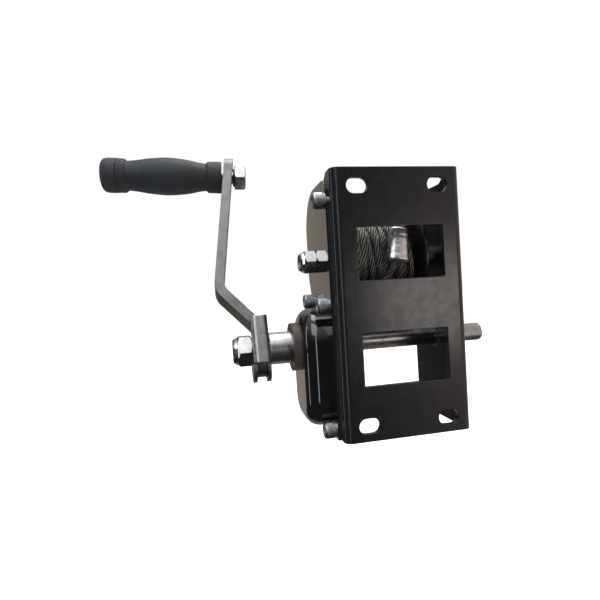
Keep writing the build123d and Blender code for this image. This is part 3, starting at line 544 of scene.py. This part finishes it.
def make_grip_cap():
    """The plugged end cap, with a turned-in edge and a shallow dished face."""
    plug = [(94.5, 0.0001), (94.5, 11.9), (98.5, 11.95)]
    rim = smooth_profile(
        [
            (98.5, 14.9), (98.9, 15.3), (99.6, 15.45), (104.0, 15.5), (107.5, 15.3), (109.8, 14.5),
            (111.3, 13.0), (112.2, 10.8), (112.45, 8.0),
        ],
        5,
    )
    face = smooth_profile([(112.45, 8.0), (112.3, 6.5), (112.0, 5.6), (111.9, 0.0001)], 4)
    cap = lathe("grip_end_cap", GRIP_PLACE, GRIP_DIRECTION, in_metres(plug + rim + face[1:]), 128)
    return crease(cap, 35)


grip = make_grip()
place_piece(grip, "grip", "grip_plastic", "grip")
grip_cap = make_grip_cap()
place_piece(grip_cap, "grip", "grip_plastic", "grip_cap")


# ---- cover screws -------------------------------------------------------------------
SCREWS = [(14.0, 83.5), (19.0, 1.5), (18.0, -97.0), (68.5, 4.5)]
SCREW_LEFT, SCREW_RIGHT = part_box("cover_screws")[0].x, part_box("cover_screws")[1].x
SCREW_HEAD = 8.0 * MM
KNURLS = 40


def screw_rings():
    """Rings of one socket head screw from its tip to the bottom of its socket."""
    head = SCREW_LEFT + SCREW_HEAD

    def plain(radius):
        return lambda turn: radius

    def knurled(turn):
        return 6.36 * MM + 0.14 * MM * cos(KNURLS * turn)

    def socket(scale):
        return lambda turn: scale * 3.0 * MM / cos((turn % (pi / 3)) - pi / 6)

    return [
        (SCREW_RIGHT, plain(3.2 * MM)),
        (SCREW_RIGHT - 0.8 * MM, plain(4.0 * MM)),
        (head, plain(4.0 * MM)),
        (head, plain(6.1 * MM)),
        (head - 0.4 * MM, plain(6.4 * MM)),
        (head - 0.8 * MM, knurled),
        (SCREW_LEFT + 1.5 * MM, knurled),
        (SCREW_LEFT + 1.2 * MM, plain(6.35 * MM)),
        (SCREW_LEFT + 0.5 * MM, plain(6.1 * MM)),
        (SCREW_LEFT + 0.1 * MM, plain(5.6 * MM)),
        (SCREW_LEFT, plain(5.1 * MM)),
        (SCREW_LEFT, plain(3.75 * MM)),
        (SCREW_LEFT + 0.25 * MM, socket(1.02)),
        (SCREW_LEFT + 0.5 * MM, socket(1.0)),
        (SCREW_LEFT + 4.4 * MM, socket(1.0)),
        (SCREW_LEFT + 5.2 * MM, plain(0.2 * MM)),
    ]


def make_screws():
    count = 240
    vertices = []
    faces = []
    for y, z in SCREWS:
        base = len(vertices)
        rings = screw_rings()
        for x, radius in rings:
            for index in range(count):
                turn = 2 * pi * index / count
                reach = radius(turn)
                vertices.append(Vector((x, y * MM + reach * cos(turn), z * MM + reach * sin(turn))))
        for face in grid_faces(len(rings), count):
            faces.append(tuple(base + index for index in reversed(face)))
    return crease(add_mesh("socket_head_screws", vertices, faces), 35)


screws = make_screws()
place_piece(screws, "root", "zinc", "cover_screws")


# ---- nylon rings of the lock nuts ---------------------------------------------------
def nylon_ring(name, body, node, bore, outer):
    """The nylon ring that stands a little proud in the end of a lock nut."""
    low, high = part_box(node)
    end = low.x
    proud = 0.12 * MM
    profile = [
        (end + 1.6 * MM, bore),
        (end - proud * 0.4, bore),
        (end - proud, bore + 0.25 * MM),
        (end - proud, outer - 0.3 * MM),
        (end, outer),
        (end + 1.6 * MM, outer),
    ]
    origin = Vector((0, (low.y + high.y) / 2, (low.z + high.z) / 2))
    ring = tube_ring(name, origin, Vector((1, 0, 0)), profile)
    return place_piece(crease(ring), body, "black_nylon")


crank_ring = nylon_ring("crank_nut_ring", "drive", "crank_nut", 8.0 * MM, 9.6 * MM)
axle_ring = nylon_ring("axle_nut_ring", "root", "drum_axle_nut", 6.0 * MM, 7.2 * MM)


# ---- materials ----------------------------------------------------------------------
class Look:
    """One material, with short names for the nodes that it is made of."""

    def __init__(self, name, **fixed):
        self.material = bpy.data.materials.new(name)
        self.material.use_nodes = True
        self.tree = self.material.node_tree
        self.shader = self.tree.nodes["Principled BSDF"]
        for key, value in fixed.items():
            self.shader.inputs[key].default_value = value
        self.place = self.tree.nodes.new("ShaderNodeTexCoord").outputs["Object"]

    def link(self, source, target):
        self.tree.links.new(source, target)

    def math(self, operation, first, second=0.0):
        node = self.tree.nodes.new("ShaderNodeMath")
        node.operation = operation
        for socket, value in zip(node.inputs, (first, second)):
            if isinstance(value, (int, float)):
                socket.default_value = value
            else:
                self.link(value, socket)
        return node.outputs[0]

    def noise(self, scale, detail=3.0, roughness=0.55, stretch=(1, 1, 1), vector=None):
        mapping = self.tree.nodes.new("ShaderNodeMapping")
        mapping.inputs["Scale"].default_value = stretch
        self.link(vector or self.place, mapping.inputs["Vector"])
        node = self.tree.nodes.new("ShaderNodeTexNoise")
        node.inputs["Scale"].default_value = scale
        node.inputs["Detail"].default_value = detail
        node.inputs["Roughness"].default_value = roughness
        self.link(mapping.outputs[0], node.inputs["Vector"])
        return node.outputs["Fac"]

    def rings(self, scale, detail=2.0):
        """Noise that changes only along the shafts, as turning marks do."""
        split = self.tree.nodes.new("ShaderNodeSeparateXYZ")
        self.link(self.place, split.inputs[0])
        node = self.tree.nodes.new("ShaderNodeTexNoise")
        node.noise_dimensions = "1D"
        node.inputs["Scale"].default_value = scale
        node.inputs["Detail"].default_value = detail
        self.link(split.outputs["X"], node.inputs["W"])
        return node.outputs["Fac"]

    def between(self, value, low, high, to_low=0.0, to_high=1.0):
        node = self.tree.nodes.new("ShaderNodeMapRange")
        for key, number in (("From Min", low), ("From Max", high), ("To Min", to_low), ("To Max", to_high)):
            node.inputs[key].default_value = number
        self.link(value, node.inputs["Value"])
        return node.outputs["Result"]

    def colour(self, value, low, high):
        node = self.tree.nodes.new("ShaderNodeMix")
        node.data_type = "RGBA"
        self.link(value, node.inputs["Factor"])
        for socket, number in ((node.inputs[6], low), (node.inputs[7], high)):
            if isinstance(number, tuple):
                socket.default_value = (*number, 1.0)
            else:
                self.link(number, socket)
        return node.outputs[2]

    def paint(self, source):
        self.link(source, self.shader.inputs["Base Color"])

    def rough(self, source):
        self.link(source, self.shader.inputs["Roughness"])

    def relief(self, *layers, edge=0.0):
        """Bumps of (height, depth in metres, strength), over edges rounded by a radius."""
        normal = None
        if edge:
            bevel = self.tree.nodes.new("ShaderNodeBevel")
            bevel.samples = 4
            bevel.inputs["Radius"].default_value = edge
            normal = bevel.outputs[0]
        for height, depth, strength in layers:
            bump = self.tree.nodes.new("ShaderNodeBump")
            bump.inputs["Distance"].default_value = depth
            bump.inputs["Strength"].default_value = strength
            self.link(height, bump.inputs["Height"])
            if normal is not None:
                self.link(normal, bump.inputs["Normal"])
            normal = bump.outputs[0]
        self.link(normal, self.shader.inputs["Normal"])


def powder_coat():
    """Semi-gloss black powder coat with fine orange peel and a few specks of dust."""
    look = Look("black_powder_coat")
    cloud = look.noise(45.0, 4.0)
    dust = look.between(look.noise(700.0, 2.0), 0.73, 0.77)
    base = look.colour(cloud, (0.0055, 0.0053, 0.0053), (0.0105, 0.0100, 0.0098))
    look.paint(look.colour(look.math("MULTIPLY", dust, 0.5), base, (0.22, 0.21, 0.20)))
    look.rough(look.between(look.noise(120.0, 5.0), 0.3, 0.7, 0.17, 0.27))
    look.relief((look.noise(800.0, 2.0), 0.00005, 0.16), edge=0.0010)
    return look.material


def gloss_paint():
    """Deep black gloss paint, slightly wavy."""
    look = Look("black_gloss_paint", **{"Coat Weight": 0.5, "Coat Roughness": 0.06})
    look.paint(look.colour(look.noise(60.0, 3.0), (0.0030, 0.0030, 0.0035), (0.0080, 0.0078, 0.0078)))
    look.rough(look.between(look.noise(150.0, 5.0), 0.3, 0.7, 0.05, 0.12))
    look.relief((look.noise(120.0, 2.0), 0.00008, 0.10), edge=0.0006)
    return look.material


def zinc(name, low, high, rough, ring=0.0, scratch=0.5, edge=0.0004):
    """Bright zinc plate: mottled, finely scratched and, on turned pieces, ringed."""
    look = Look(name, Metallic=1.0)
    mottle = look.noise(130.0, 6.0, 0.65)
    look.paint(look.colour(look.between(mottle, 0.3, 0.72), low, high))
    fine = look.noise(900.0, 4.0, 0.6, (1.0, 1.0, 0.12))
    look.rough(look.between(look.noise(260.0, 5.0, 0.7), 0.3, 0.7, *rough))
    layers = [(fine, 0.00004, scratch), (look.noise(2600.0, 2.0), 0.00002, 0.4)]
    if ring:
        layers.append((look.rings(1100.0, 3.0), 0.00010, ring))
    look.relief(*layers, edge=edge)
    return look.material


def rope_steel():
    """Galvanised wires on each strand, with painted shade on the wires and in the grooves between the
    strands.
    """
    look = Look("galvanised_wire", Metallic=0.92)
    map_node = look.tree.nodes.new("ShaderNodeUVMap")
    map_node.uv_map = "lay"
    split = look.tree.nodes.new("ShaderNodeSeparateXYZ")
    look.link(map_node.outputs[0], split.inputs[0])
    around, along = split.outputs["X"], split.outputs["Y"]
    lean = look.math("ADD", around, look.math("MULTIPLY", along, float(STRANDS)))
    wires = look.math("SINE", look.math("MULTIPLY", lean, 2 * pi * 4.5))
    # Painted shade: the strands turn near black where they meet, in the grooves between them.
    groove = look.math("ABSOLUTE", look.math("SUBTRACT", look.math("FRACT", around), 0.5))
    groove_shade_mask = look.between(groove, 0.16, 0.42)
    grime = look.noise(160.0, 5.0, 0.65)
    steel = look.colour(look.between(grime, 0.3, 0.7), (0.38, 0.36, 0.31), (0.84, 0.81, 0.74))
    # Painted shade down one side of each wire, from the same waves that bump the wires.
    wire_shade = look.colour(look.between(wires, -1.0, 0.1), (0.06, 0.055, 0.05), steel)
    look.paint(look.colour(groove_shade_mask, (0.018, 0.016, 0.014), wire_shade))
    look.rough(look.between(grime, 0.3, 0.7, 0.34, 0.52))
    look.relief((wires, 0.00012, 0.8), (look.noise(1500.0, 2.0), 0.00004, 0.3))
    return look.material


def pressed_aluminium():
    """Soft aluminium with die marks and scuffs."""
    look = Look("pressed_aluminium", Metallic=1.0)
    mottle = look.noise(200.0, 6.0, 0.7, (1.0, 1.0, 0.35))
    look.paint(look.colour(look.between(mottle, 0.3, 0.7), (0.50, 0.48, 0.48), (0.80, 0.79, 0.81)))
    look.rough(look.between(look.noise(500.0, 4.0), 0.3, 0.7, 0.24, 0.42))
    scuffs = look.noise(420.0, 5.0, 0.7, (1.0, 1.0, 0.10))
    look.relief((scuffs, 0.00012, 0.55), (look.noise(1500.0, 3.0), 0.00004, 0.4))
    return look.material


def moulded(name, low, high, rough, grain=0.35):
    """Moulded plastic with a fine matt grain."""
    look = Look(name)
    look.paint(look.colour(look.noise(80.0, 3.0), low, high))
    look.rough(look.between(look.noise(300.0, 4.0), 0.3, 0.7, *rough))
    look.relief((look.noise(1800.0, 2.0), 0.00005, grain), edge=0.0003)
    return look.material


def bush_metal():
    """Dark brown bearing flange with turning marks."""
    look = Look("dark_bearing", Metallic=0.35)
    look.paint(look.colour(look.noise(220.0, 5.0), (0.030, 0.024, 0.020), (0.075, 0.062, 0.054)))
    look.rough(look.between(look.noise(300.0, 4.0), 0.3, 0.7, 0.36, 0.52))
    look.relief((look.rings(1500.0), 0.00008, 0.5), (look.noise(900.0, 3.0), 0.00005, 0.4), edge=0.0005)
    return look.material


def friction_lining():
    """Woven friction lining, fibrous and dull."""
    look = Look("friction_lining")
    look.paint(look.colour(look.noise(900.0, 6.0, 0.8), (0.06, 0.045, 0.03), (0.24, 0.18, 0.12)))
    look.rough(look.between(look.noise(600.0, 4.0), 0.3, 0.7, 0.75, 0.92))
    look.relief((look.noise(1400.0, 5.0), 0.0002, 0.6))
    return look.material


def bronze():
    look = Look("sintered_bronze", Metallic=1.0)
    look.paint(look.colour(look.noise(500.0, 5.0), (0.30, 0.18, 0.08), (0.58, 0.40, 0.20)))
    look.rough(look.between(look.noise(900.0, 4.0), 0.3, 0.7, 0.35, 0.55))
    look.relief((look.noise(2500.0, 3.0), 0.00004, 0.5), edge=0.0003)
    return look.material


ZINC_LOW, ZINC_HIGH = (0.34, 0.34, 0.33), (0.50, 0.50, 0.49)
LOOKS = {
    "powder": powder_coat(),
    "gloss": gloss_paint(),
    "zinc": zinc("zinc_plate", ZINC_LOW, ZINC_HIGH, (0.30, 0.46)),
    "nut": zinc("zinc_nut", (0.42, 0.42, 0.43), (0.62, 0.62, 0.63), (0.16, 0.28), scratch=0.3),
    "screw": zinc("zinc_screw", (0.26, 0.28, 0.29), (0.42, 0.44, 0.45), (0.22, 0.36), scratch=0.3),
    "turned": zinc("turned_steel", (0.32, 0.32, 0.31), (0.56, 0.56, 0.54), (0.24, 0.40), ring=0.9),
    "arm": zinc("zinc_arm", (0.125, 0.13, 0.124), (0.22, 0.225, 0.215), (0.34, 0.48), edge=0.0008),
    "fold": zinc("zinc_bracket", (0.26, 0.26, 0.25), (0.42, 0.42, 0.405), (0.26, 0.38), edge=0.0012),
    "spring": zinc("spring_steel", (0.10, 0.10, 0.105), (0.20, 0.20, 0.21), (0.30, 0.45)),
    "bronze": bronze(),
    "bearing": bush_metal(),
    "rope": rope_steel(),
    "aluminium": pressed_aluminium(),
    "lining": friction_lining(),
    "nylon": moulded("black_nylon", (0.008, 0.008, 0.009), (0.018, 0.018, 0.019), (0.35, 0.5)),
    "grip": moulded("grip_plastic", (0.0085, 0.0115, 0.0140), (0.0140, 0.0180, 0.0210), (0.55, 0.68), 0.5),
}


def dress(look, *pieces):
    for piece in pieces:
        piece = nodes[piece] if isinstance(piece, str) else piece
        piece.data.materials.clear()
        piece.data.materials.append(LOOKS[look])


dress("powder", "frame", "drum_core", "drum_flange_left", "drum_flange_right")
dress("gloss", "gear_cover")
dress("zinc", "cover_screw_washers", "drum_thrust_washer", "drum_spacer", "drum_gear", "gear_rivets")
dress("zinc", "pawl_pin", "pinion", "brake_disc", "ratchet_wheel", "pawl")
dress("nut", "drum_axle", "drum_axle_nut", "crank_nut", "grip_bolt", "grip_nut")
dress("screw", screws)
dress("turned", "crank_hub", shaft)
dress("arm", "crank_arm")
dress("fold", "crank_bracket")
dress("spring", "pawl_clip", "shaft_clip", "pawl_spring", "rope_set_screw")
dress("bronze", "drum_bush_left", "drum_bush_right")
dress("bearing", "cover_bush", "left_shaft_bush", "right_shaft_bush")
dress("rope", rope)
dress("aluminium", ferrule)
dress("lining", "friction_disc_outer", "friction_disc_inner")
dress("nylon", "grip_washer", crank_ring, axle_ring)
dress("grip", grip, grip_cap)


# ---- floor, backdrop and light ------------------------------------------------------
FLOOR_Z = -0.235
FLOOR_FADE = (-0.30, 0.05)
FLOOR_GLOW = 0.85
BACKDROP = (1.02, 1.02, 1.02)
ROOM_LEFT = (0.022, 0.022, 0.024)
ROOM_RIGHT = (0.62, 0.54, 0.49)
ROOM_BACK = (0.40, 0.345, 0.30)
CEILING = (0.80, 0.80, 0.82)


def make_floor():
    """A wide pale floor that glows softly behind the winch and fades to grey before it."""
    size = 8.0
    corners = [(-size, -size), (size, -size), (size, size), (-size, size)]
    floor = add_mesh("floor", [(x, y, FLOOR_Z) for x, y in corners], [(0, 1, 2, 3)])
    look = Look("pale_floor")
    split = look.tree.nodes.new("ShaderNodeSeparateXYZ")
    look.link(look.place, split.inputs[0])
    look.paint(look.colour(look.noise(3.0), (0.86, 0.86, 0.86), (0.90, 0.90, 0.90)))
    look.rough(look.between(look.noise(5.0), 0.3, 0.7, 0.80, 0.88))
    look.shader.inputs["Emission Color"].default_value = (1.0, 1.0, 1.0, 1.0)
    glow = look.between(split.outputs["Y"], *FLOOR_FADE, 0.0, FLOOR_GLOW)
    look.link(glow, look.shader.inputs["Emission Strength"])
    floor.data.materials.append(look.material)
    floor.visible_glossy = False


def make_world():
    """A white backdrop for the camera, and a dim brown-grey room that the metal mirrors."""
    world = bpy.data.worlds.new("studio")
    bpy.context.scene.world = world
    world.use_nodes = True
    tree = world.node_tree
    place = tree.nodes.new("ShaderNodeTexCoord")
    split = tree.nodes.new("ShaderNodeSeparateXYZ")
    tree.links.new(place.outputs["Generated"], split.inputs[0])

    def span(source, low, high, top=1.0):
        node = tree.nodes.new("ShaderNodeMapRange")
        node.interpolation_type = "SMOOTHSTEP"
        node.inputs["From Min"].default_value = low
        node.inputs["From Max"].default_value = high
        node.inputs["To Max"].default_value = top
        tree.links.new(source, node.inputs["Value"])
        return node.outputs["Result"]

    def mix(factor, first, second):
        node = tree.nodes.new("ShaderNodeMix")
        node.data_type = "RGBA"
        tree.links.new(factor, node.inputs["Factor"])
        for socket, value in ((node.inputs[6], first), (node.inputs[7], second)):
            if isinstance(value, tuple):
                socket.default_value = (*value, 1.0)
            else:
                tree.links.new(value, socket)
        return node.outputs[2]

    front = mix(span(split.outputs["X"], 0.30, 0.58), ROOM_LEFT, ROOM_RIGHT)
    back = mix(span(split.outputs["X"], -0.42, -0.30), ROOM_LEFT, ROOM_BACK)
    room = mix(span(split.outputs["Y"], 0.10, 0.60), front, back)
    room = mix(span(split.outputs["Z"], 0.20, 0.90), room, CEILING)
    seen = tree.nodes.new("ShaderNodeLightPath").outputs["Is Camera Ray"]
    tree.links.new(mix(seen, room, BACKDROP), tree.nodes["Background"].inputs["Color"])


def make_light(name, place, target, size, power, tint=(1.0, 1.0, 1.0)):
    data = bpy.data.lights.new(name, "AREA")
    data.shape = "RECTANGLE"
    data.size, data.size_y = size
    data.energy = power
    data.color = tint
    light = bpy.data.objects.new(name, data)
    bpy.context.scene.collection.objects.link(light)
    light.location = place
    light.rotation_euler = (Vector(target) - Vector(place)).to_track_quat("-Z", "Y").to_euler()


make_floor()
make_world()
make_light("key", (-0.7, -1.0, 1.5), (0, 0.05, 0), (1.3, 1.3), 15.0)
make_light("front_glow", (0.72, -1.33, -0.05), (0, 0.0, 0), (0.42, 0.36), 1.75, (1.0, 0.93, 0.90))
make_light("window", (-0.62, -1.42, 0.10), (-0.05, 0.04, 0), (0.12, 1.5), 4.0, (0.72, 0.84, 1.0))
make_light("far_window", (-1.35, 0.30, 0.15), (-0.05, 0.04, 0), (0.10, 1.5), 2.5, (0.80, 0.90, 1.0))
make_light("top", (0.1, 0.2, 1.4), (0, 0.05, 0), (0.9, 0.9), 12.0)
bpy.context.scene.view_settings.view_transform = "Standard"
